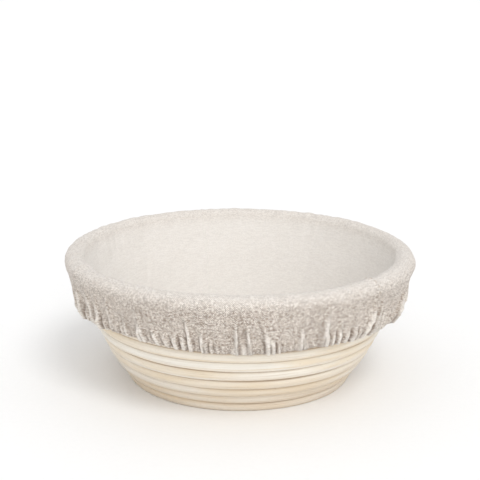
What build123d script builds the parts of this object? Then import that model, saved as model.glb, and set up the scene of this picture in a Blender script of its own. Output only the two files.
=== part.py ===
from build123d import *
import math
import os

# Banneton basket: a coiled-cane proofing bowl with a gathered linen liner folded over its rim.
# Millimetres, +Z up. The origin is on the axis of the bowl, at the level it stands on.

# Cane
cane_diameter = 7.75
cane_gap = 0.05
rim_cane_diameter = 10.0
sanded_depth = 0.3

# Shape of the bowl: the first turn stands on the base, the next leans out most, and the wall then
# eases to an even slope up to the rim
base_ring_radius = 73.4
wall_ring_count = 10
lean_first = 29.0
lean_most = 37.2
lean_top = 21.3
lean_easing = 4.1

# Base spiral
spiral_turns = 9
spiral_tail_angle = 120

# Scarf joints, where the two ends of a turn meet
scarf_slope = 30
scarf_slit = 0.20
scarf_azimuth_step = 135
scarf_cutter_share = 2.4
late_scarf_turn = 7
late_scarf_angle = 0.8

# Steel pins
pin_diameter = 1.3
pin_clearance = 0.04
pin_bite = 4.8
pin_head_depth = 1.0
pins_per_ring = 12
rim_pin_count = 24
rim_hole_spare = 4.0
first_pin_azimuth = 4
base_pin_spread = 18
first_pinned_half_turn = 2

# Liner cloth
cloth_clearance = 0.35
cloth_thickness = 0.9
gathered_thickness = 1.4
seam_gap = 0.05
base_seam_radius = 70.2
skirt_slant = 18.5
hem_height = 48.3
casing_height = 8.0
casing_depth = 2.6
elastic_width = 5.0
elastic_thickness = 1.0
elastic_clearance = 0.1
thread_radius = 0.3
thread_ridge = 0.4
side_seam_azimuth = -44.0
side_seam_width_angle = 0.4

# Worked out from the sizes above
cane_radius = cane_diameter / 2
rim_radius = rim_cane_diameter / 2
ring_pitch = cane_diameter + cane_gap
pin_radius = pin_diameter / 2
pin_hole_radius = pin_radius + pin_clearance


def lean(step):
    """Angle from vertical of the step from one turn of the wall up to the next."""
    if step == 0:
        return lean_first
    remaining = (wall_ring_count - step) / (wall_ring_count - 1)
    return lean_top + (lean_most - lean_top) * remaining ** lean_easing


def turn_radius(turn):
    """Radius of the cane itself: the rim is thicker than the turns below it."""
    return rim_radius if turn > wall_ring_count else cane_radius


# Centre of each turn's section, as (radius, height): the base ring, the wall rings, then the rim
turn_centres = [(base_ring_radius, cane_radius - sanded_depth)]
for step in range(wall_ring_count + 1):
    length = turn_radius(step) + turn_radius(step + 1) + cane_gap
    radius, height = turn_centres[-1]
    radius += length * math.sin(math.radians(lean(step)))
    height += length * math.cos(math.radians(lean(step)))
    turn_centres.append((radius, height))

rim_turn = wall_ring_count + 1
rim_centre = turn_centres[rim_turn]
base_top = turn_centres[0][1] + cane_radius


def pin_place(step):
    """Middle and tilt of the pin that ties turn step + 1 to the turn below, on the +X side."""
    tilt = math.radians(lean(step))
    upper, lower = turn_centres[step + 1], turn_centres[step]
    rise = turn_radius(step + 1) - pin_head_depth
    drop = turn_radius(step) - pin_bite
    top = (upper[0] + rise * math.sin(tilt), upper[1] + rise * math.cos(tilt))
    foot = (lower[0] + drop * math.sin(tilt), lower[1] + drop * math.cos(tilt))
    middle = ((top[0] + foot[0]) / 2, 0, (top[1] + foot[1]) / 2)
    return Location(middle, (0, lean(step), 0)), math.dist(top, foot)


def pin_polar(step):
    """Azimuths of one turn's pins, staggered from turn to turn."""
    count = rim_pin_count if step == wall_ring_count else pins_per_ring
    stagger = 180 / count if step % 2 == 0 else 0
    return PolarLocations(0, count, start_angle=first_pin_azimuth + stagger)


def add_turn_pins(step, radius, spare=0.0, mode=Mode.ADD):
    """Pins of one turn, or the holes they sit in."""
    place, length = pin_place(step)
    with pin_polar(step):
        with Locations(place):
            Cylinder(radius, length + spare, mode=mode)


def add_ring(turn):
    """One closed hoop of cane, before it is cut."""
    with BuildSketch(Plane.XZ) as section:
        with Locations(turn_centres[turn]):
            Circle(turn_radius(turn))
    revolve(section.sketch, axis=Axis.Z)


def cut_scarf(turn):
    """Thin slanted slit where the two ends of the hoop overlap, midway between two pins, or just past it."""
    radius, height = turn_centres[turn]
    reach = scarf_cutter_share * turn_radius(turn)
    pin_offset = 90 / pins_per_ring if turn < wall_ring_count else 180 / pins_per_ring
    azimuth = first_pin_azimuth + pin_offset + turn * scarf_azimuth_step
    if turn == late_scarf_turn:
        azimuth += late_scarf_angle
    with PolarLocations(0, 1, start_angle=azimuth):
        with Locations(Location((radius, 0, height), (scarf_slope, 0, 0))):
            Box(reach, reach / math.sin(math.radians(scarf_slope)), scarf_slit, mode=Mode.SUBTRACT)


# Base spiral
# Half-turn arcs about two centres, each half a pitch wider than the one before
centre_shift = ring_pitch / 4
spiral_rim_radius = base_ring_radius - cane_radius - cane_gap
spiral_start_radius = base_ring_radius - spiral_turns * ring_pitch + centre_shift


def spiral_radius(half_turn):
    """Radius of one half-turn arc about its own centre."""
    return spiral_start_radius + half_turn * ring_pitch / 2


def half_turn_centre(half_turn):
    """Even half-turns lie on the +Y side and odd ones on the -Y side, about shifted centres."""
    return -centre_shift if half_turn % 2 == 0 else centre_shift


def add_base_pins(radius, spare=0.0, mode=Mode.ADD):
    """Radial pins that tie each turn of the spiral to the next one in."""
    length = ring_pitch + pin_bite
    for half_turn in range(first_pinned_half_turn, 2 * spiral_turns - 2):
        side = 90 if half_turn % 2 == 0 else -90
        spread = base_pin_spread if half_turn % 4 < 2 else -base_pin_spread
        reach = spiral_radius(half_turn) + cane_radius - pin_head_depth - length / 2
        centre = (half_turn_centre(half_turn), 0, turn_centres[0][1])
        with Locations(centre):
            with PolarLocations(0, 1, start_angle=side + spread):
                with Locations(Location((reach, 0, 0), (0, 90, 0))):
                    Cylinder(radius, length + spare, mode=mode)


def add_base_ring_pins(radius, spare=0.0, mode=Mode.ADD):
    """Radial pins that tie the base ring to the spiral inside it."""
    length = ring_pitch + pin_bite
    reach = base_ring_radius + cane_radius - pin_head_depth - length / 2
    with PolarLocations(0, pins_per_ring, start_angle=first_pin_azimuth):
        with Locations(Location((reach, 0, turn_centres[0][1]), (0, 90, 0))):
            Cylinder(radius, length + spare, mode=mode)


with BuildPart() as base_spiral:
    with BuildLine(Plane.XY.offset(turn_centres[0][1])) as spiral_path:
        for half_turn in range(2 * spiral_turns):
            last = half_turn == 2 * spiral_turns - 1
            CenterArc(
                center=(half_turn_centre(half_turn), 0),
                radius=spiral_radius(half_turn),
                start_angle=0 if half_turn % 2 == 0 else 180,
                arc_size=spiral_tail_angle if last else 180,
            )
    with BuildSketch(Plane(origin=spiral_path.line @ 0, z_dir=spiral_path.line % 0)):
        Circle(cane_radius)
    sweep(path=spiral_path.line)
    # the tail is shaved to a taper so that the coil ends round
    with Locations((0, 0, turn_centres[0][1])):
        Cylinder(spiral_rim_radius, 2 * cane_diameter, mode=Mode.INTERSECT)
    split(bisect_by=Plane.XY, keep=Keep.TOP)
    add_base_pins(pin_hole_radius, 2 * pin_clearance, Mode.SUBTRACT)
    add_base_ring_pins(pin_hole_radius, 2 * pin_clearance, Mode.SUBTRACT)

# Base ring, the outermost turn of the base
with BuildPart() as base_ring:
    add_ring(0)
    split(bisect_by=Plane.XY, keep=Keep.TOP)
    cut_scarf(0)
    add_base_ring_pins(pin_hole_radius, 2 * pin_clearance, Mode.SUBTRACT)
    add_turn_pins(0, pin_hole_radius, 2 * pin_clearance, Mode.SUBTRACT)

with BuildPart() as base_pins:
    add_base_pins(pin_radius)
    add_base_ring_pins(pin_radius)

# Wall rings, one hoop of cane for each turn
wall_rings = {}
for turn in range(1, wall_ring_count + 1):
    with BuildPart() as wall_ring:
        add_ring(turn)
        cut_scarf(turn)
        add_turn_pins(turn - 1, pin_hole_radius, 2 * pin_clearance, Mode.SUBTRACT)
        add_turn_pins(turn, pin_hole_radius, 2 * pin_clearance, Mode.SUBTRACT)
    wall_rings[f"wall_ring_{turn:02d}"] = wall_ring

with BuildPart() as wall_pins:
    for step in range(wall_ring_count):
        add_turn_pins(step, pin_radius)

# Rim ring: the pin heads are sunk, so each hole opens on the crown
with BuildPart() as rim_ring:
    add_ring(rim_turn)
    cut_scarf(rim_turn)
    add_turn_pins(wall_ring_count, pin_hole_radius, rim_hole_spare, Mode.SUBTRACT)

with BuildPart() as rim_pins:
    add_turn_pins(wall_ring_count, pin_radius)

# Liner base panel: the round bottom disc
disc_bottom = base_top + cloth_clearance
with BuildPart() as liner_base_panel:
    with BuildSketch(Plane.XY.offset(disc_bottom)):
        Circle(base_seam_radius - seam_gap)
    extrude(amount=cloth_thickness)


def draw_lining(distance):
    """Line that keeps a distance from the canes, from the base seam up and over to the rim's outside."""
    points = [(base_seam_radius, base_top + distance)]
    for turn in range(1, wall_ring_count):
        tilt = math.radians((lean(turn - 1) + lean(turn)) / 2)
        radius, height = turn_centres[turn]
        radius -= (cane_radius + distance) * math.cos(tilt)
        height += (cane_radius + distance) * math.sin(tilt)
        points.append((radius, height))
    rim_arc = CenterArc(rim_centre, rim_radius + distance, 180 - lean_top, lean_top - 180)
    points.append(rim_arc @ 0)
    wall_line = Spline(*points, tangents=[(1, 0), rim_arc % 0])
    return wall_line @ 0, rim_arc @ 1


def sketch_lining(near, far):
    """Closed section between two distances from the canes."""
    with BuildLine() as outline:
        near_start, near_end = draw_lining(near)
        far_start, far_end = draw_lining(far)
        Line(near_start, far_start)
        Line(near_end, far_end)
    make_face(outline.line)


# Liner side panel: up the inside and over the rim
with BuildPart() as liner_side_panel:
    with BuildSketch(Plane.XZ):
        sketch_lining(cloth_clearance, cloth_clearance + cloth_thickness)
    revolve(axis=Axis.Z)

# Liner skirt: the gathered part outside the rim, with its hem casing
skirt_reach = rim_radius + cloth_clearance + gathered_thickness / 2
slant = math.radians(skirt_slant)
skirt_top = (
    rim_centre[0] + skirt_reach * math.cos(slant),
    rim_centre[1] - skirt_reach * math.sin(slant),
)
casing_centre_height = hem_height + casing_height / 2
skirt_drop = skirt_top[1] - casing_centre_height
casing_centre = (skirt_top[0] - skirt_drop * math.tan(slant), casing_centre_height)

with BuildPart() as liner_skirt:
    with BuildSketch(Plane.XZ):
        with BuildLine():
            CenterArc(rim_centre, skirt_reach, 0, -skirt_slant)
            Line(skirt_top, casing_centre)
        trace(line_width=gathered_thickness)
        with Locations(casing_centre):
            SlotOverall(casing_height, casing_depth, rotation=90 - skirt_slant)
            Rectangle(
                elastic_width + 2 * elastic_clearance,
                elastic_thickness + 2 * elastic_clearance,
                rotation=90 - skirt_slant,
                mode=Mode.SUBTRACT,
            )
    revolve(axis=Axis.Z)

# Elastic band inside the casing
with BuildPart() as hem_elastic:
    with BuildSketch(Plane.XZ):
        with Locations(casing_centre):
            Rectangle(elastic_width, elastic_thickness, rotation=90 - skirt_slant)
    revolve(axis=Axis.Z)

# Sewing threads: the ring round the base disc, the side seam, and the casing's stitch line
seam_thread_height = disc_bottom + cloth_thickness + thread_radius + seam_gap
with BuildPart() as base_seam_thread:
    with BuildSketch(Plane.XZ):
        with Locations((base_seam_radius - 2 * thread_radius, seam_thread_height)):
            Circle(thread_radius)
    revolve(axis=Axis.Z)

seam_side = math.radians(side_seam_azimuth)
seam_plane = Plane(
    origin=(0, 0, 0),
    x_dir=(math.cos(seam_side), math.sin(seam_side), 0),
    z_dir=(math.sin(seam_side), -math.cos(seam_side), 0),
)
seam_inside = cloth_clearance + cloth_thickness + seam_gap
with BuildPart() as side_seam_thread:
    with BuildSketch(seam_plane):
        sketch_lining(seam_inside, seam_inside + thread_ridge)
    revolve(axis=Axis.Z, revolution_arc=side_seam_width_angle)

stitch_rise = casing_height / 2 + thread_radius
stitch_reach = gathered_thickness / 2 + thread_radius + seam_gap
stitch_centre = (
    casing_centre[0] + stitch_rise * math.sin(slant) + stitch_reach * math.cos(slant),
    casing_centre[1] + stitch_rise * math.cos(slant) - stitch_reach * math.sin(slant),
)
with BuildPart() as hem_thread:
    with BuildSketch(Plane.XZ):
        with Locations(stitch_centre):
            Circle(thread_radius)
    revolve(axis=Axis.Z)

# Written as one STEP file for each sub-part
sub_parts = {
    "base_spiral": base_spiral,
    "base_ring": base_ring,
    "base_pins": base_pins,
    **wall_rings,
    "wall_pins": wall_pins,
    "rim_ring": rim_ring,
    "rim_pins": rim_pins,
    "liner_base_panel": liner_base_panel,
    "liner_side_panel": liner_side_panel,
    "liner_skirt": liner_skirt,
    "hem_elastic": hem_elastic,
    "base_seam_thread": base_seam_thread,
    "side_seam_thread": side_seam_thread,
    "hem_thread": hem_thread,
}

os.makedirs("parts", exist_ok=True)
for name, sub_part in sub_parts.items():
    sub_part.part.label = name
    export_step(sub_part.part, f"parts/{name}.step")
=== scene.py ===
import math

import bpy
import numpy as np
from mathutils import Matrix, Vector


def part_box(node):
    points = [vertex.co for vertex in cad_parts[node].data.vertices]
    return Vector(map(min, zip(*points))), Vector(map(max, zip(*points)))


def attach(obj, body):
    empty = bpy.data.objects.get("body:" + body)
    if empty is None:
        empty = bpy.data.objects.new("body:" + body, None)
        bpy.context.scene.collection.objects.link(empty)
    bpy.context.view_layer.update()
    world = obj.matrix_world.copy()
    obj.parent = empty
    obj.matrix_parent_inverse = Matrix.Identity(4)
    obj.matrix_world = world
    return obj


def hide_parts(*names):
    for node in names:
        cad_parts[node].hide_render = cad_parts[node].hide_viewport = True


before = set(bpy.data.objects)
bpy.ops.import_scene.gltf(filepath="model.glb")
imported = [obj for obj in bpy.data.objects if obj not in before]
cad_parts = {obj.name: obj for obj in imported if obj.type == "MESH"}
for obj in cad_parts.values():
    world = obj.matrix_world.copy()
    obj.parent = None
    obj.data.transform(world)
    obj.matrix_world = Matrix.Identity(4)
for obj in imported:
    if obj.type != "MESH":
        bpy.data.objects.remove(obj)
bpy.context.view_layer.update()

# Banneton basket with its linen liner. Metres, in the frame of the CAD model.
MM = 0.001
rng = np.random.default_rng(7)

# ---------------------------------------------------------------- sizes from the frame

BASE = "base_ring"
WALL = [f"wall_ring_{turn:02d}" for turn in range(1, 11)]
RIM = "rim_ring"


def ring_section(node):
    """Centre radius, centre height and section radius of a cane hoop, from its box."""
    low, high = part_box(node)
    section = (high.z - low.z) / 2
    return high.x - section, (high.z + low.z) / 2, section


wall_sections = [ring_section(name) for name in WALL]
cane_radius = wall_sections[0][2]
rim_section = ring_section(RIM)
base_low, base_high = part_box(BASE)
base_section = (base_high.x - cane_radius, base_high.z - cane_radius, cane_radius)
turns = [base_section] + wall_sections + [rim_section]
spiral_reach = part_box("base_spiral")[1].x
disc_low, disc_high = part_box("liner_base_panel")
skirt_low, skirt_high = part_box("liner_skirt")
elastic_low, elastic_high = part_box("hem_elastic")


def wall_direction(turn):
    """Unit (radius, height) direction up the wall at a turn."""
    below, above = turns[max(turn - 1, 0)], turns[min(turn + 1, len(turns) - 1)]
    step = np.array([above[0] - below[0], above[1] - below[1]])
    return step / np.linalg.norm(step)


# ---------------------------------------------------------------- repeatable noise

class Ripple:
    """Smooth noise of one angle, made of sines with seeded phases, that closes round the circle."""

    def __init__(self, lowest, highest):
        self.orders = np.arange(lowest, highest + 1)
        self.phases = rng.uniform(0, 2 * math.pi, len(self.orders))
        self.sizes = rng.normal(0, 1, len(self.orders))
        self.sizes /= max(np.sqrt((self.sizes ** 2).sum() / 2), 1e-6)

    def __call__(self, angle):
        angle = np.asarray(angle)[..., None]
        return (self.sizes * np.sin(self.orders * angle + self.phases)).sum(-1)


def past_angle(angle, start):
    """How far an angle lies past a start, from half a turn behind it to half a turn ahead."""
    return (angle - start + math.pi) % (2 * math.pi) - math.pi


def ease(low, high, value):
    """Smooth step from 0 at low to 1 at high."""
    t = np.clip((value - low) / (high - low), 0, 1)
    return t * t * (3 - 2 * t)


# ---------------------------------------------------------------- mesh building

def make_object(name, points, faces, uv=None, fields=None):
    """A smooth mesh object, with a UV value for each vertex and named per-vertex fields."""
    mesh = bpy.data.meshes.new(name)
    mesh.from_pydata(points.tolist(), [], faces)
    mesh.update()
    if uv is not None:
        layer = mesh.uv_layers.new(name="cloth")
        loop_vertex = np.zeros(len(mesh.loops), np.int32)
        mesh.loops.foreach_get("vertex_index", loop_vertex)
        layer.data.foreach_set("uv", uv[loop_vertex].astype(np.float32).ravel())
    for field, values in (fields or {}).items():
        attribute = mesh.attributes.new(field, "FLOAT", "POINT")
        attribute.data.foreach_set("value", values.astype(np.float32))
    mesh.shade_smooth()
    made = bpy.data.objects.new(name, mesh)
    bpy.context.scene.collection.objects.link(made)
    return made


def grid_faces(rows, columns, closed_rows, closed_columns):
    """Quads of a grid of vertices, stored row by row."""
    faces = []
    for i in range(rows if closed_rows else rows - 1):
        for j in range(columns if closed_columns else columns - 1):
            i2, j2 = (i + 1) % rows, (j + 1) % columns
            faces.append((i * columns + j, i2 * columns + j, i2 * columns + j2, i * columns + j2))
    return faces


def apply_modifiers(made):
    """Bakes an object's modifiers into its mesh."""
    graph = bpy.context.evaluated_depsgraph_get()
    mesh = bpy.data.meshes.new_from_object(made.evaluated_get(graph))
    made.modifiers.clear()
    made.data = mesh


# ---------------------------------------------------------------- canes

SECTION_POINTS = 20
SECTION_SQUARENESS = 2.7
# Shares of the modelled section that the visible one takes. The base coil takes the first one both ways.
ACROSS_SHARE = 0.985
ALONG_SHARE = 0.995
SCARF_SLOPE = math.radians(30)
SCARF_REACH = 14 * MM
SCARF_COLUMNS = 71
SCARF_GROOVE = 0.4 * MM
SCARF_LIP = 16 * MM
FIRST_SCARF = 11.5
SCARF_STEP = 135
# Degrees that the scarf lies further on, for the turns that differ.
SCARF_SHIFTS = {7: 0.8, 10: 7.5, 11: 7.5}
RIM_PINS = 24
PIN_HOLE_RADIUS = 0.85 * MM
PIN_HOLE_DEPTH = 2.6 * MM


def section_loop(across, along):
    """A rounded-square section: offsets across and along the wall, with the cosine and sine that made it."""
    t = np.arange(SECTION_POINTS) * 2 * math.pi / SECTION_POINTS
    c, s = np.cos(t), np.sin(t)
    x = across * np.sign(c) * np.abs(c) ** (2 / SECTION_SQUARENESS)
    y = along * np.sign(s) * np.abs(s) ** (2 / SECTION_SQUARENESS)
    return x, y, c, s


def scarf_azimuth(turn):
    """Where the two ends of a turn meet: midway between its pins, or just past that on the seventh turn."""
    return math.radians((FIRST_SCARF + turn * SCARF_STEP + SCARF_SHIFTS.get(turn, 0)) % 360)


def cane_hoop(name, turn, columns=288):
    """One turn of the wall: a slightly uneven hoop with a slanted scarf joint."""
    radius, height, section = turns[turn]
    up = wall_direction(turn)
    out = np.array([up[1], -up[0]])
    tone = rng.uniform(-1, 1)
    drift, swell, roll = Ripple(1, 5), Ripple(3, 14), Ripple(1, 4)
    scarf = scarf_azimuth(turn)
    near = scarf + np.linspace(-SCARF_REACH, SCARF_REACH, SCARF_COLUMNS) / radius
    even = np.arange(columns) * 2 * math.pi / columns
    away = np.abs(past_angle(even, scarf)) * radius > SCARF_REACH + 0.5 * MM
    angle = np.sort(np.concatenate([even[away], near % (2 * math.pi)]))
    x, y, _, sine = section_loop(ACROSS_SHARE * section, ALONG_SHARE * section)
    past = past_angle(angle, scarf)[:, None] * radius - y / math.tan(SCARF_SLOPE)
    groove = np.exp(-(past / SCARF_GROOVE) ** 2)
    lip = np.where(past > 0, np.exp(-(past / SCARF_LIP) ** 2), 0)
    shape = 1 + 0.008 * swell(angle)[:, None] - 0.06 * groove - 0.035 * lip
    shift = 0.10 * MM * drift(angle)[:, None]
    turned = 0.05 * roll(angle)[:, None]
    across = shape * (x * np.cos(turned) - y * np.sin(turned)) + shift
    along = x * np.sin(turned) + y * np.cos(turned)
    r = radius + across * out[0] + along * up[0]
    z = np.maximum(height + across * out[1] + along * up[1], 0)
    points = np.stack([r * np.cos(angle)[:, None], r * np.sin(angle)[:, None], z], -1).reshape(-1, 3)
    girth = np.arange(SECTION_POINTS) * 2 * math.pi * section / SECTION_POINTS
    fields = {
        "along": np.repeat(angle * radius, SECTION_POINTS),
        "around": np.tile(girth, len(angle)),
        # seam: 1 where this turn touches its neighbours and in the scarf groove, where the cane material
        # paints shade
        "seam": np.maximum(np.abs(sine)[None, :], 0.97 * groove).ravel(),
        "tone": np.full(len(points), tone),
    }
    return make_object(name, points, grid_faces(len(angle), SECTION_POINTS, True, True), fields=fields)


def base_coil(name):
    """The flat spiral of the base, with a curled start and a tail that tapers against the base ring."""
    pitch = 2 * cane_radius
    start_radius = 0.55 * pitch
    total = 2 * math.pi * ((spiral_reach - cane_radius - start_radius) / pitch + 1)
    angle = np.linspace(0, total, 1300)
    radius = start_radius + pitch * angle / (2 * math.pi)
    outer = np.minimum(radius + ACROSS_SHARE * cane_radius, spiral_reach)
    inner = radius - ACROSS_SHARE * cane_radius
    thinnest = 1.2 * MM
    keep = outer - inner > thinnest
    angle, outer, inner = angle[keep], outer[keep], inner[keep]
    drift, swell = Ripple(5, 40), Ripple(20, 90)
    phase = angle / len(turns)
    x, y, cosine, _ = section_loop(1.0, ACROSS_SHARE * cane_radius)
    middle = (outer + inner) / 2 + 0.06 * MM * drift(phase)
    half = (outer - inner) / 2 * (1 + 0.006 * swell(phase))
    r = middle[:, None] + half[:, None] * x
    z = np.maximum(base_section[1] + y[None, :] * (1 + 0.01 * swell(phase))[:, None], 0)
    points = np.stack([r * np.cos(angle)[:, None], r * np.sin(angle)[:, None], z], -1).reshape(-1, 3)
    faces = grid_faces(len(angle), SECTION_POINTS, False, True)
    last = (len(angle) - 1) * SECTION_POINTS
    faces.append(tuple(range(SECTION_POINTS)))
    faces.append(tuple(last + i for i in reversed(range(SECTION_POINTS))))
    arc = np.concatenate([[0], np.cumsum(np.diff(angle) * middle[1:])])
    girth = np.arange(SECTION_POINTS) * 2 * math.pi * cane_radius / SECTION_POINTS
    fields = {
        "along": np.repeat(arc, SECTION_POINTS),
        "around": np.tile(girth, len(angle)),
        # seam: 1 where the coil touches its neighbours, where the cane material paints shade
        "seam": np.tile(np.abs(cosine), len(angle)),
        "tone": np.full(len(points), 0.2),
    }
    return make_object(name, points, faces, fields=fields)


def drill_rim(rim):
    """Opens a small hole on the rim's crown over each pin head."""
    pins = np.array([v.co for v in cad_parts["rim_pins"].data.vertices])
    heads = pins[pins[:, 2] > pins[:, 2].max() - 0.3 * MM]
    spacing = math.radians(360 / RIM_PINS)
    first = np.mean(np.arctan2(heads[:, 1], heads[:, 0]) % spacing)
    direction = wall_direction(len(turns) - 1)
    radius, height, section = rim_section
    drills = []
    for k in range(RIM_PINS):
        azimuth = first + k * spacing
        axis = Vector((direction[0] * math.cos(azimuth), direction[0] * math.sin(azimuth), direction[1]))
        middle = Vector((radius * math.cos(azimuth), radius * math.sin(azimuth), height)) + axis * section
        tilt = axis.to_track_quat("Z", "Y").to_euler()
        bpy.ops.mesh.primitive_cylinder_add(vertices=20, radius=PIN_HOLE_RADIUS, depth=PIN_HOLE_DEPTH,
                                            location=middle, rotation=tilt)
        drills.append(bpy.context.object)
    cutter = drills[0]
    with bpy.context.temp_override(active_object=cutter, selected_editable_objects=drills):
        bpy.ops.object.join()
    cut = rim.modifiers.new("pin holes", "BOOLEAN")
    cut.operation, cut.solver, cut.object = "DIFFERENCE", "EXACT", cutter
    apply_modifiers(rim)
    bpy.data.objects.remove(cutter)


# ---------------------------------------------------------------- liner cloth

CLOTH = 0.6 * MM
SEAM_AZIMUTH = math.radians(-44)
RIM_CLEARANCE = 0.65 * MM
RIM_PUFF = 1.6 * MM
COLUMNS = 1080
ROW_SPACING = 1.5 * MM
YARN = 0.62 * MM
SEAM_FOLD = 5 * MM
SEAM_STEP = 0.35 * MM
# How far outward the hem goes for each metre that it rides up, along the slanted skirt.
LIFT_OUTWARD = 0.33


def smooth_path(points, spacing):
    """Points spaced evenly along a smooth curve through the given (radius, height) points."""
    points = np.array(points)
    ends = np.vstack([2 * points[0] - points[1], points, 2 * points[-1] - points[-2]])
    fine = []
    for a, b, c, d in zip(ends[:-3], ends[1:-2], ends[2:-1], ends[3:]):
        t = np.linspace(0, 1, 24, endpoint=False)[:, None]
        fine.append(0.5 * (2 * b + (c - a) * t + (2 * a - 5 * b + 4 * c - d) * t ** 2
                           + (3 * b - a - 3 * c + d) * t ** 3))
    fine = np.vstack(fine + [points[-1:]])
    length = np.concatenate([[0], np.cumsum(np.linalg.norm(np.diff(fine, axis=0), axis=1))])
    count = int(round(length[-1] / spacing)) + 1
    where = np.linspace(0, length[-1], count)
    return np.stack([np.interp(where, length, fine[:, k]) for k in range(2)], 1)


def lining_line():
    """Meridian of the cloth: base seam, up inside, over the rim, down the skirt, back up inside the hem."""
    inside = []
    for turn in range(1, 10):
        radius, height, section = turns[turn]
        up = wall_direction(turn)
        gap = section + RIM_CLEARANCE
        inside.append((radius - gap * up[1], height + gap * up[0]))
    radius, height, section = rim_section
    over = []
    for a in np.radians(np.arange(160, -21, -15)):
        gap = section + RIM_CLEARANCE + RIM_PUFF * ease(math.radians(-80), math.radians(10), -a)
        over.append((radius + gap * math.cos(a), height + gap * math.sin(a)))
    seam = [
        (disc_high.x + 0.4 * MM, disc_high.z - 0.3 * MM),
        (disc_high.x + 1.4 * MM, disc_high.z + 0.9 * MM),
    ]
    hem_out = elastic_high.x - 0.1 * MM
    hem_low = skirt_low.z
    hem = [
        (hem_out + 0.9 * MM, hem_low + 7.5 * MM),
        (hem_out - 0.5 * MM, hem_low + 3.4 * MM),
        (hem_out - 1.9 * MM, hem_low + 0.6 * MM),
        (hem_out - 3.3 * MM, hem_low + 1.0 * MM),
        (hem_out - 3.6 * MM, hem_low + 3.0 * MM),
        (hem_out - 2.3 * MM, hem_low + 6.6 * MM),
        (hem_out - 1.2 * MM, hem_low + 9.2 * MM),
    ]
    last = over[-1]
    drop = [tuple(np.array(last) * (1 - t) + np.array(hem[0]) * t) for t in (0.25, 0.5, 0.75)]
    return smooth_path(seam + inside + over + drop + hem, ROW_SPACING)


def ridges(phase, sharpness):
    """Rounded ridges with narrow valleys between them, from 0 to 1."""
    return 1 - (1 - np.abs(np.sin(phase / 2))) ** sharpness


def creases(phase, sharpness):
    """Narrow ridges standing out of flat cloth, from 0 to 1."""
    return (0.5 + 0.5 * np.cos(phase)) ** sharpness


def gathers(angle, drop):
    """Outward push of the skirt's gathers in metres, then how far each spot is in a valley and on a crest,
    the masks of the folds' painted shade and painted highlight.

    Both shares run from 0 to 1, and drop runs from 0 at the rim to 1 at the hem.
    """
    slant, wander, big = Ripple(1, 6), Ripple(4, 24), Ripple(9, 22)
    start, depth = Ripple(20, 60), Ripple(6, 40)
    warp = angle + 0.030 * slant(angle) * (1 - drop) + 0.012 * wander(angle)
    broad = 0.8 * MM * big(warp) * ease(0.05, 0.6, drop) * (1 - 0.6 * ease(0.75, 1.0, drop))
    strength = np.clip(0.9 + 0.5 * depth(warp), 0.15, 1.7)
    begin = 0.22 + 0.13 * start(warp)
    long_phase = 64 * warp + 2.2 * wander(warp + 1)
    long_share = ease(0, 0.45, drop - begin) * (1 - 0.35 * ease(0.8, 1.0, drop)) * strength
    folds = 2.6 * MM * creases(long_phase, 2.5) * long_share
    short_phase = 157 * warp + 1.6 * wander(warp + 2)
    short_share = np.clip(0.9 + 0.35 * depth(warp + 3), 0.35, 1.5) * ease(0.58, 0.84, drop)
    pucker = 2.3 * MM * ridges(short_phase, 1.4) * short_share
    # valley: hollows beside the long folds and between the puckers, for painted shade; crest: fold tops, for
    # painted highlight
    beside = creases(long_phase + 1.25, 7) + creases(long_phase - 1.25, 7)
    full_share = np.minimum(long_share, 1)
    short_ridges = ridges(short_phase, 1.4)
    valley = 0.5 * beside * full_share + 0.9 * (1 - short_ridges) ** 2 * short_share
    crest = creases(long_phase, 4) * full_share + 0.7 * short_ridges ** 3 * short_share
    return broad + folds + pucker, np.clip(valley, 0, 1), np.clip(crest, 0, 1)


def hem_lift(angle):
    """How far the elastic rides up above its lowest level, in metres."""
    front = np.degrees(past_angle(angle, -math.pi / 2))
    left = np.exp(-((front + 40) / 24) ** 2)
    right = np.exp(-((front - 32) / 22) ** 2)
    back = ease(90, 140, np.abs(front)) * (0.5 + 0.5 * np.sin(2 * angle + 0.6))
    return MM * (0.7 + 3.2 * left + 1.4 * right + 1.2 * back)


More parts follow.
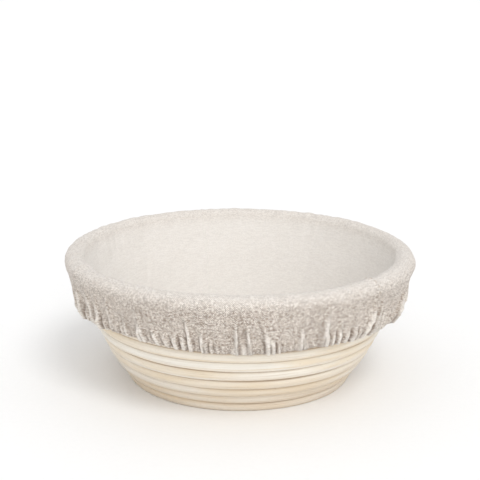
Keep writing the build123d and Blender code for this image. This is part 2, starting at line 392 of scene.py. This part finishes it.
def liner_cloth():
    """The side strip of the liner as one cloth, with its points and each row's share of the skirt."""
    line = lining_line()
    rows = len(line)
    step = np.gradient(line, axis=0)
    step /= np.linalg.norm(step, axis=1)[:, None]
    normal = np.stack([-step[:, 1], step[:, 0]], 1)
    length = np.concatenate([[0], np.cumsum(np.linalg.norm(np.diff(line, axis=0), axis=1))])
    crown = line[:, 1].argmax()
    outermost = crown + np.argmin(np.abs(line[crown:, 1] - rim_section[1]))
    bottom = crown + line[crown:, 1].argmin()
    angle = np.arange(COLUMNS) * 2 * math.pi / COLUMNS
    past_rim = (length - length[outermost]) / (length[bottom] - length[outermost])
    skirt = np.clip(past_rim, 0, None)
    drop = np.minimum(skirt, 1)[:, None]
    push, valley, crest = gathers(angle[None, :], drop)
    inner = ease(1.04, 1.15, skirt)[:, None]
    push = push * (1 - inner) - 0.25 * push * inner
    rumple, tension, ribs = Ripple(3, 16), Ripple(30, 80), Ripple(2, 9)
    above = 1 - ease(0, 0.15, skirt)[:, None]
    rise = (length / length[outermost])[:, None]
    crease = 0.30 * MM * rumple(angle[None, :] + 0.25 * rise) * ease(0.02, 0.3, rise)
    crease = crease + 0.12 * MM * tension(angle[None, :] + 0.05 * rise) * ease(0.5, 0.95, rise)
    crease = crease + 0.15 * MM * ribs(angle[None, :] * 2 + 3 * rise)
    push = push + above * np.abs(crease)
    # the side seam: one edge lies over the other, so the cloth steps up along a line
    reach = past_angle(angle[None, :], SEAM_AZIMUTH) * line[:, :1]
    fold = np.where(reach > 0, np.exp(-(reach / SEAM_FOLD) ** 2), np.exp(-(reach / SEAM_STEP) ** 2))
    push = push + 0.7 * MM * fold * (1 - ease(0.9, 1.0, skirt)[:, None])
    level = ease(0.55, 0.9, skirt)[:, None] * (1 - inner)
    r = line[:, :1] + (normal[:, :1] * (1 - level) + level) * push
    z = line[:, 1:] + normal[:, 1:] * (1 - level) * push
    lift = hem_lift(angle)[None, :] * ease(0.3, 1.0, skirt)[:, None]
    r = r + LIFT_OUTWARD * lift
    z = z + lift
    points = np.stack([r * np.cos(angle), r * np.sin(angle), z], -1)
    uv = np.stack(np.broadcast_arrays(angle[None, :] * rim_section[0], length[:, None]), -1).reshape(-1, 2)
    # painted light: the share of the painted top light, 1 on the inside, fading over the rim to nothing a
    # little way down the skirt
    fade = 1 - 0.40 * ease(-0.75, -0.35, past_rim) - 0.60 * ease(-0.25, 0.15, past_rim)
    # valley and crest carry the folds' painted shade and painted highlight; pale carries the painted top
    # light
    fields = {
        "valley": np.broadcast_to(valley, (rows, COLUMNS)).ravel(),
        "pale": np.broadcast_to(fade[:, None], (rows, COLUMNS)).ravel(),
        "crest": np.broadcast_to(crest, (rows, COLUMNS)).ravel(),
    }
    faces = grid_faces(rows, COLUMNS, False, True)
    made = make_object("liner_side_cloth", points.reshape(-1, 3), faces, uv, fields)
    return made, points, skirt


def thicken(cloth):
    """Gives a cloth its thickness on the side away from view."""
    solid = cloth.modifiers.new("thickness", "SOLIDIFY")
    solid.thickness, solid.offset = CLOTH, -1
    apply_modifiers(cloth)


def base_cloth():
    """The bottom disc, which takes a faint print of the canes under it and lifts at its seam."""
    columns, rings = 360, 44
    angle = np.arange(columns) * 2 * math.pi / columns
    radius = np.linspace(0, disc_high.x + 0.5 * MM, rings + 1)[1:]
    rumple, print_wave = Ripple(2, 9), Ripple(1, 3)
    share = (radius / radius[-1])[:, None]
    z = disc_high.z - 0.25 * MM + 0.12 * MM * rumple(angle[None, :] + share) * share
    across_turns = radius[:, None] - cane_radius * angle[None, :] / math.pi
    z = z + 0.10 * MM * np.sin(2 * math.pi * across_turns / (2 * cane_radius))
    z = z + 0.05 * MM * print_wave(angle)[None, :] + 0.5 * MM * ease(0.97, 1.0, share)
    x, y = radius[:, None] * np.cos(angle), radius[:, None] * np.sin(angle)
    points = np.stack([x, y, z], -1).reshape(-1, 3)
    points = np.vstack([points, [[0, 0, points[:columns, 2].mean()]]])
    faces = grid_faces(rings, columns, False, True)
    centre = len(points) - 1
    faces += [(centre, j, (j + 1) % columns) for j in range(columns)]
    # the whole base disc takes the painted top light
    fields = {"valley": np.zeros(len(points)), "crest": np.zeros(len(points)), "pale": np.ones(len(points))}
    return make_object("liner_base_cloth", points, faces, points[:, :2], fields)


def tube_runs(name, runs, radius, sides=6):
    """Many short rounded tubes in one mesh, each along its own few points."""
    t = np.arange(sides) * 2 * math.pi / sides
    points, faces = [], []
    for run in runs:
        run = np.array(run)
        step = np.gradient(run, axis=0)
        step /= np.linalg.norm(step, axis=1)[:, None]
        side = np.cross(step, [0.0, 0.0, 1.0])
        side[np.linalg.norm(side, axis=1) < 0.1] = [1.0, 0.0, 0.0]
        side /= np.linalg.norm(side, axis=1)[:, None]
        other = np.cross(step, side)
        start = len(points)
        for k, centre in enumerate(run):
            width = radius * (0.45 if k in (0, len(run) - 1) else 1.0)
            for a in t:
                points.append(centre + width * (math.cos(a) * side[k] + math.sin(a) * other[k]))
        faces += [tuple(start + v for v in face) for face in grid_faces(len(run), sides, False, True)]
        faces.append(tuple(start + i for i in range(sides)))
        faces.append(tuple(start + (len(run) - 1) * sides + i for i in reversed(range(sides))))
    return make_object(name, np.array(points), faces)


def cloth_spot(points, row, column, lift):
    """A point on the cloth's visible face, raised by lift. Row and column may be fractions."""
    rows = points.shape[0]
    i = min(max(int(row), 0), rows - 2)
    j = int(math.floor(column))
    f, g = row - i, column - j
    j0, j1 = j % COLUMNS, (j + 1) % COLUMNS
    a, b, c, d = points[i, j0], points[i, j1], points[i + 1, j0], points[i + 1, j1]
    spot = (a * (1 - g) + b * g) * (1 - f) + (c * (1 - g) + d * g) * f
    facing = np.cross(d - a, b - c)
    return spot + lift * facing / np.linalg.norm(facing)


THREAD = 0.22 * MM
STITCH = 2.6 * MM
STITCH_GAP = 0.9 * MM
STITCH_ARCH = np.array([-0.6, 0.5, 0.9, 0.9, 0.5, -0.6])
BASE_STITCH_ARCH = np.array([-0.6, 0.6, 0.9, 0.6, -0.6])
# Rows of stitches: shares of the way from rim to hem, a row count up from the base, a step beside the seam.
HEM_STITCH_SHARE = 0.80
SEAM_STITCH_END = 0.98
BASE_STITCH_ROW = 1.2
SEAM_STITCH_ASIDE = 1.6 * MM


def hem_stitches(points, skirt):
    """The stitch line at the top of the hem casing, following the gathers."""
    row = float(np.interp(HEM_STITCH_SHARE, skirt, np.arange(len(skirt))))
    radius = np.linalg.norm(points[int(row), 0, :2])
    column_length = 2 * math.pi * radius / COLUMNS
    pitch = (STITCH + STITCH_GAP) / column_length
    count = int(COLUMNS / pitch)
    runs = []
    for k in range(count):
        start = k * COLUMNS / count
        where = start + np.linspace(0, STITCH / column_length, len(STITCH_ARCH))
        runs.append([cloth_spot(points, row, c, h) for c, h in zip(where, THREAD * STITCH_ARCH)])
    return tube_runs("hem_stitches", runs, THREAD)


def seam_stitches(points, skirt):
    """The stitch line beside the side seam's fold, from the base to the hem."""
    rows = len(skirt)
    last = float(np.interp(SEAM_STITCH_END, skirt, np.arange(rows)))
    pitch = (STITCH + STITCH_GAP) / ROW_SPACING
    runs = []
    for k in range(int((last - 2) / pitch)):
        where = 2 + k * pitch + np.linspace(0, STITCH / ROW_SPACING, len(STITCH_ARCH))
        run = []
        for row, h in zip(where, THREAD * STITCH_ARCH):
            radius = np.linalg.norm(points[int(row), 0, :2])
            column = (SEAM_AZIMUTH + SEAM_STITCH_ASIDE / radius) / (2 * math.pi) * COLUMNS
            run.append(cloth_spot(points, row, column, h))
        runs.append(run)
    return tube_runs("side_seam_stitches", runs, THREAD)


def base_stitches(points):
    """The stitch line that joins the side cloth to the base disc."""
    radius = np.linalg.norm(points[int(BASE_STITCH_ROW), 0, :2])
    column_length = 2 * math.pi * radius / COLUMNS
    count = int(2 * math.pi * radius / (STITCH + STITCH_GAP))
    runs = []
    for k in range(count):
        where = k * COLUMNS / count + np.linspace(0, STITCH / column_length, len(BASE_STITCH_ARCH))
        lift = THREAD * BASE_STITCH_ARCH
        runs.append([cloth_spot(points, BASE_STITCH_ROW, c, h) for c, h in zip(where, lift)])
    return tube_runs("base_seam_stitches", runs, THREAD)


SKIRT_SLANT = math.radians(18.5)
# The band's outline, in millimetres across and shares of its half width along: one half, then its opposite.
HALF_PROFILE = [(-0.3, -1), (0.3, -1), (0.35, -0.5), (0.35, 0.5)]
BAND_PROFILE = HALF_PROFILE + [(-across, -along) for across, along in HALF_PROFILE]


def elastic_band():
    """The flat elastic inside the hem casing, faintly wavy where the cloth gathers on it."""
    columns = 720
    angle = np.arange(columns) * 2 * math.pi / columns
    middle = (elastic_low.z + elastic_high.z) / 2
    half = (elastic_high.z - elastic_low.z) / 2
    ripple = Ripple(60, 160)
    centre = elastic_high.x - 1.9 * MM + 0.10 * MM * ripple(angle)
    points = []
    for a, c, lift in zip(angle, centre, hem_lift(angle)):
        for across, along in BAND_PROFILE:
            r = c + across * MM + (along * half + lift) * math.tan(SKIRT_SLANT)
            points.append((r * math.cos(a), r * math.sin(a), middle + along * half + lift))
    faces = grid_faces(columns, len(BAND_PROFILE), True, True)
    return make_object("hem_elastic_band", np.array(points), faces)


# ---------------------------------------------------------------- materials

class Tree:
    """A short way to write a material's nodes."""

    def __init__(self, name):
        self.material = bpy.data.materials.new(name)
        self.material.use_nodes = True
        self.tree = self.material.node_tree
        self.tree.nodes.clear()
        self.shader = self.add("ShaderNodeBsdfPrincipled")
        output = self.add("ShaderNodeOutputMaterial")
        self.tree.links.new(self.shader.outputs[0], output.inputs["Surface"])

    def add(self, kind, **settings):
        node = self.tree.nodes.new(kind)
        for key, value in settings.items():
            setattr(node, key, value)
        return node

    def put(self, socket, value):
        if isinstance(value, bpy.types.NodeSocket):
            self.tree.links.new(value, socket)
        else:
            socket.default_value = value

    def math(self, operation, a, b=0.0, c=0.0):
        node = self.add("ShaderNodeMath", operation=operation)
        for socket, value in zip(node.inputs, (a, b, c)):
            self.put(socket, value)
        return node.outputs[0]

    def field(self, name):
        return self.add("ShaderNodeAttribute", attribute_name=name).outputs["Fac"]

    def vector(self, x=0.0, y=0.0, z=0.0):
        node = self.add("ShaderNodeCombineXYZ")
        for socket, value in zip(node.inputs, (x, y, z)):
            self.put(socket, value)
        return node.outputs[0]

    def noise(self, vector, scale=1.0, detail=2.0, roughness=0.5):
        node = self.add("ShaderNodeTexNoise")
        self.put(node.inputs["Vector"], vector)
        node.inputs["Scale"].default_value = scale
        node.inputs["Detail"].default_value = detail
        node.inputs["Roughness"].default_value = roughness
        return node.outputs[0]

    def span(self, value, low, high, to_low=0.0, to_high=1.0):
        node = self.add("ShaderNodeMapRange", interpolation_type="SMOOTHSTEP")
        for socket, number in zip(node.inputs, (value, low, high, to_low, to_high)):
            self.put(socket, number)
        return node.outputs[0]

    def mix(self, share, a, b):
        node = self.add("ShaderNodeMix", data_type="RGBA")
        self.put(node.inputs[0], share)
        for socket, value in ((node.inputs[6], a), (node.inputs[7], b)):
            self.put(socket, value)
        return node.outputs[2]

    def bump(self, height, distance, strength=1.0, under=None):
        node = self.add("ShaderNodeBump")
        node.inputs["Strength"].default_value = strength
        node.inputs["Distance"].default_value = distance
        self.put(node.inputs["Height"], height)
        if under is not None:
            self.put(node.inputs["Normal"], under)
        return node.outputs[0]

    def finish(self, colour, roughness, normal, **constants):
        self.put(self.shader.inputs["Base Color"], colour)
        self.put(self.shader.inputs["Roughness"], roughness)
        self.put(self.shader.inputs["Normal"], normal)
        for name, value in constants.items():
            self.shader.inputs[name.replace("_", " ")].default_value = value
        return self.material


def srgb(red, green, blue):
    """Linear colour of an sRGB value from 0 to 255."""
    channels = []
    for value in (red, green, blue):
        value /= 255
        channels.append(value / 12.92 if value <= 0.04045 else ((value + 0.055) / 1.055) ** 2.4)
    return (*channels, 1.0)


def cane_material(name, pale, warm, dark):
    """Peeled rattan: fine fibres along the cane, soft blotches of colour, darker brown between the turns and
    near the floor, partly the cane's own colour and partly painted shade.
    """
    t = Tree(name)
    along, around, tone, seam = (t.field(f) for f in ("along", "around", "tone", "seam"))
    shift = t.math("MULTIPLY", tone, 9.0)

    def grain(along_scale, around_scale, detail):
        """Noise stretched along the cane, at its own place for each turn."""
        x = t.math("MULTIPLY", along, along_scale)
        y = t.math("MULTIPLY", around, around_scale)
        return t.noise(t.vector(x, y, shift), detail=detail)

    fibre = grain(26.0, 2300.0, 3.0)
    strand = grain(60.0, 700.0, 2.0)
    blotch = grain(16.0, 90.0, 3.0)
    speck = grain(420.0, 2600.0, 1.0)
    colour = t.mix(t.span(blotch, 0.35, 0.68), pale, warm)
    toned_and_floor_shaded = t.mix(t.span(tone, -1.0, 1.0, 0.0, 0.35), colour, warm)
    # darker and browner towards the floor: painted shade near the floor, with the lower turns' own warmer
    # colour
    split = t.add("ShaderNodeSeparateXYZ")
    t.put(split.inputs[0], t.add("ShaderNodeTexCoord").outputs["Object"])
    toned_and_floor_shaded = t.mix(t.span(split.outputs[2], 0.004, 0.040, 0.22, 0.0), toned_and_floor_shaded, dark)
    streaked = t.mix(t.span(fibre, 0.52, 0.75, 0.0, 0.35), toned_and_floor_shaded, dark)
    specked = t.mix(t.span(speck, 0.72, 0.80, 0.0, 0.5), streaked, dark)
    # painted shade, with some of the cane's own brown, where the turns touch and in the scarf groove
    edged = t.mix(t.span(seam, 0.80, 1.0, 0.0, 0.75), specked, dark)
    height = t.math("ADD", t.math("MULTIPLY", fibre, 0.6), t.math("MULTIPLY", strand, 0.8))
    rough = t.span(strand, 0.3, 0.7, 0.42, 0.62)
    return t.finish(edged, rough, t.bump(height, 0.12 * MM), Specular_IOR_Level=0.35)


def linen_material(name, light, flax, shade, bright, painted_top_light):
    """Coarse linen woven one over one: over-and-under yarns, with slubs and specks, each crossing its own
    shade; with painted shade in the weave's hollows and the folds' valleys, painted highlight on the fold
    crests and painted light on the inside and rim top.
    """
    t = Tree(name)
    split = t.add("ShaderNodeSeparateXYZ")
    t.put(split.inputs[0], t.add("ShaderNodeUVMap", uv_map="cloth").outputs[0])
    yarns = 1 / YARN
    wobble = t.noise(t.vector(split.outputs[0], split.outputs[1]), scale=60.0, detail=2.0)
    drift = t.math("MULTIPLY", t.math("SUBTRACT", wobble, 0.5), 0.5)
    a = t.math("ADD", t.math("MULTIPLY", split.outputs[0], yarns), drift)
    b = t.math("ADD", t.math("MULTIPLY", split.outputs[1], yarns), drift)
    row_a, row_b = t.math("FLOOR", a), t.math("FLOOR", b)
    round_a = t.math("ABSOLUTE", t.math("SINE", t.math("MULTIPLY", a, math.pi)))
    round_b = t.math("ABSOLUTE", t.math("SINE", t.math("MULTIPLY", b, math.pi)))
    over_a = t.math("COSINE", t.math("MULTIPLY", t.math("ADD", b, row_a), math.pi))
    over_b = t.math("COSINE", t.math("MULTIPLY", t.math("ADD", t.math("ADD", a, row_b), 1.0), math.pi))
    lift_a = t.math("MULTIPLY", round_a, t.math("MULTIPLY_ADD", over_a, 0.5, 0.5))
    lift_b = t.math("MULTIPLY", round_b, t.math("MULTIPLY_ADD", over_b, 0.5, 0.5))
    crossing = t.add("ShaderNodeTexWhiteNoise", noise_dimensions="3D")
    t.put(crossing.inputs["Vector"], t.vector(row_a, row_b))
    dash = t.add("ShaderNodeTexWhiteNoise", noise_dimensions="3D")
    dash_run = t.math("MULTIPLY_ADD", row_b, 0.37, t.math("MULTIPLY", a, 0.45))
    t.put(dash.inputs["Vector"], t.vector(t.math("FLOOR", dash_run), row_b, 3.0))
    speck, streak = crossing.outputs["Value"], dash.outputs["Value"]
    height = t.math("MAXIMUM", lift_a, lift_b)
    height = t.math("MULTIPLY", height, t.math("MULTIPLY_ADD", speck, 0.5, 0.6))
    cloud = t.noise(t.vector(split.outputs[0], split.outputs[1]), scale=45.0, detail=2.0)
    slub = t.noise(t.vector(t.math("MULTIPLY", a, 0.10), t.math("MULTIPLY", row_b, 3.7), 5.0), detail=1.0)
    colour = t.mix(t.span(slub, 0.34, 0.66), light, flax)
    colour = t.mix(t.span(cloud, 0.3, 0.7, 0.0, 0.2), colour, flax)
    # less weave texture where the painted top light lies
    calm = t.math("MULTIPLY_ADD", t.field("pale"), -0.65, 1.0)
    crossed = t.math("COSINE", t.math("MULTIPLY", t.math("ADD", row_a, row_b), math.pi))
    colour = t.mix(t.math("MULTIPLY", calm, t.span(crossed, -0.5, 0.5, 0.0, 0.48)), colour, shade)
    colour = t.mix(t.math("MULTIPLY", calm, t.span(crossed, -0.5, 0.5, 0.42, 0.0)), colour, bright)
    colour = t.mix(t.math("MULTIPLY", calm, t.span(streak, 0.62, 0.95, 0.0, 0.55)), colour, shade)
    colour = t.mix(t.math("MULTIPLY", calm, t.span(speck, 0.0, 0.38, 0.54, 0.0)), colour, shade)
    colour = t.mix(t.math("MULTIPLY", calm, t.span(speck, 0.60, 0.95, 0.0, 0.52)), colour, bright)
    # painted shade in the hollows between the yarns
    colour = t.mix(t.span(height, 0.0, 0.4, 0.3, 0.0), colour, shade)
    # painted light: the inside and the rim top painted paler, as under the strong top light
    colour = t.mix(t.math("MULTIPLY", t.field("pale"), 0.62), colour, painted_top_light)
    # painted highlight on the fold crests
    colour = t.mix(t.span(t.field("crest"), 0.35, 1.0, 0.0, 0.45), colour, bright)
    # painted shade in the folds' valleys
    colour = t.mix(t.span(t.field("valley"), 0.12, 0.9, 0.0, 0.62), colour, shade)
    normal = t.bump(height, 0.12 * MM, 0.6)
    return t.finish(colour, t.span(slub, 0.3, 0.7, 0.8, 0.95), normal, Sheen_Weight=0.2, Sheen_Roughness=0.5,
                    Specular_IOR_Level=0.2)


def thread_material(name, light, dark):
    """Twisted sewing thread."""
    t = Tree(name)
    where = t.add("ShaderNodeTexCoord").outputs["Object"]
    twist = t.noise(where, scale=2400.0, detail=2.0)
    return t.finish(t.mix(t.span(twist, 0.35, 0.65), light, dark), t.span(twist, 0.3, 0.7, 0.6, 0.85),
                    t.bump(twist, 0.05 * MM))


def steel_material(name):
    """Tack steel, dulled and spotted."""
    t = Tree(name)
    where = t.add("ShaderNodeTexCoord").outputs["Object"]
    spots = t.noise(where, scale=1800.0, detail=3.0)
    colour = t.mix(t.span(spots, 0.4, 0.65), srgb(96, 88, 80), srgb(48, 40, 34))
    return t.finish(colour, t.span(spots, 0.3, 0.7, 0.35, 0.6), t.bump(spots, 0.03 * MM), Metallic=0.9)


def floor_material():
    """Plain pale studio floor."""
    t = Tree("studio_floor")
    where = t.add("ShaderNodeTexCoord").outputs["Object"]
    grain = t.noise(where, scale=300.0, detail=2.0)
    return t.finish(t.mix(grain, srgb(246, 246, 246), srgb(250, 250, 250)), 0.6, t.bump(grain, 0.01 * MM))


def dress(piece, material):
    """Gives a piece its one material."""
    piece.data.materials.clear()
    piece.data.materials.append(material)


# ---------------------------------------------------------------- the object

cane = cane_material("peeled_cane", srgb(239, 234, 224), srgb(231, 216, 192), srgb(158, 124, 88))
rim_cane = cane_material("rim_cane", srgb(244, 228, 208), srgb(236, 208, 178), srgb(150, 110, 76))
linen = linen_material("linen", light=srgb(220, 208, 196), flax=srgb(197, 181, 166), shade=srgb(112, 96, 84),
                       bright=srgb(251, 247, 240), painted_top_light=srgb(241, 240, 237))
thread = thread_material("sewing_thread", srgb(224, 214, 202), srgb(178, 164, 150))
elastic = thread_material("elastic_knit", srgb(240, 238, 234), srgb(206, 202, 196))
steel = steel_material("tack_steel")

hoops = {BASE: cane_hoop("cane_base", 0)}
for turn, node in enumerate(WALL, start=1):
    hoops[node] = cane_hoop(f"cane_wall_{turn:02d}", turn)
for node, hoop in hoops.items():
    dress(hoop, cane)
    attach(hoop, "basket")
    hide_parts(node)

rim = cane_hoop("cane_rim", len(turns) - 1, columns=420)
drill_rim(rim)
dress(rim, rim_cane)
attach(rim, "basket")
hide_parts(RIM)

coil = base_coil("cane_coil")
dress(coil, cane)
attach(coil, "basket")
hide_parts("base_spiral")

for node in ("base_pins", "wall_pins", "rim_pins"):
    dress(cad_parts[node], steel)

side, side_points, skirt_share = liner_cloth()
base = base_cloth()
hem_line = hem_stitches(side_points, skirt_share)
seam_line = seam_stitches(side_points, skirt_share)
base_line = base_stitches(side_points)
band = elastic_band()
for piece in (side, base):
    thicken(piece)
    dress(piece, linen)
for piece in (hem_line, seam_line, base_line):
    dress(piece, thread)
dress(band, elastic)
for piece in (side, base, hem_line, seam_line, base_line, band):
    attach(piece, "liner")
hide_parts("liner_side_panel", "liner_skirt")
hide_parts("liner_base_panel")
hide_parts("hem_thread")
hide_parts("side_seam_thread")
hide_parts("base_seam_thread")
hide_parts("hem_elastic")

# ---------------------------------------------------------------- floor, light and camera

bpy.ops.mesh.primitive_plane_add(size=12, location=(0, 0, 0))
floor = bpy.context.object
floor.name = "floor"
floor.data.materials.append(floor_material())


def sun(name, toward, strength, spread):
    """A wide, soft distant light. toward is the direction to the light, and spread is in degrees."""
    data = bpy.data.lights.new(name, "SUN")
    data.energy, data.angle = strength, math.radians(spread)
    light = bpy.data.objects.new(name, data)
    light.rotation_euler = Vector(toward).to_track_quat("Z", "Y").to_euler()
    bpy.context.scene.collection.objects.link(light)


sun("key", toward=(0.28, -0.55, 0.80), strength=0.90, spread=24)
sun("top", toward=(0.05, -0.10, 1.0), strength=0.22, spread=70)
sun("front", toward=(0.10, -1.0, 0.35), strength=0.60, spread=40)

WORLD_STRENGTH = 0.76
world = bpy.data.worlds.new("studio")
world.use_nodes = True
world.node_tree.nodes["Background"].inputs[0].default_value = (1, 1, 1, 1)
world.node_tree.nodes["Background"].inputs[1].default_value = WORLD_STRENGTH
bpy.context.scene.world = world
bpy.context.scene.view_settings.view_transform = "Standard"

LENS = 89.05
SENSOR_WIDTH = 36
DISTANCE = 0.807
LOOK_DOWN = math.radians(15.843)
AIM_UP = math.radians(0.95)
ROLL = math.radians(0.42)
AIM_BELOW_RIM = 3.4 * MM
aim_height = rim_section[1] - AIM_BELOW_RIM
camera = bpy.data.objects.new("camera", bpy.data.cameras.new("camera"))
camera.data.lens = LENS
camera.data.sensor_width = SENSOR_WIDTH
camera.location = (0, -DISTANCE * math.cos(LOOK_DOWN), aim_height + DISTANCE * math.sin(LOOK_DOWN))
tilt = Matrix.Rotation(math.pi / 2 - LOOK_DOWN + AIM_UP, 3, "X") @ Matrix.Rotation(ROLL, 3, "Z")
camera.rotation_euler = tilt.to_euler()
bpy.context.scene.collection.objects.link(camera)
bpy.context.scene.camera = camera
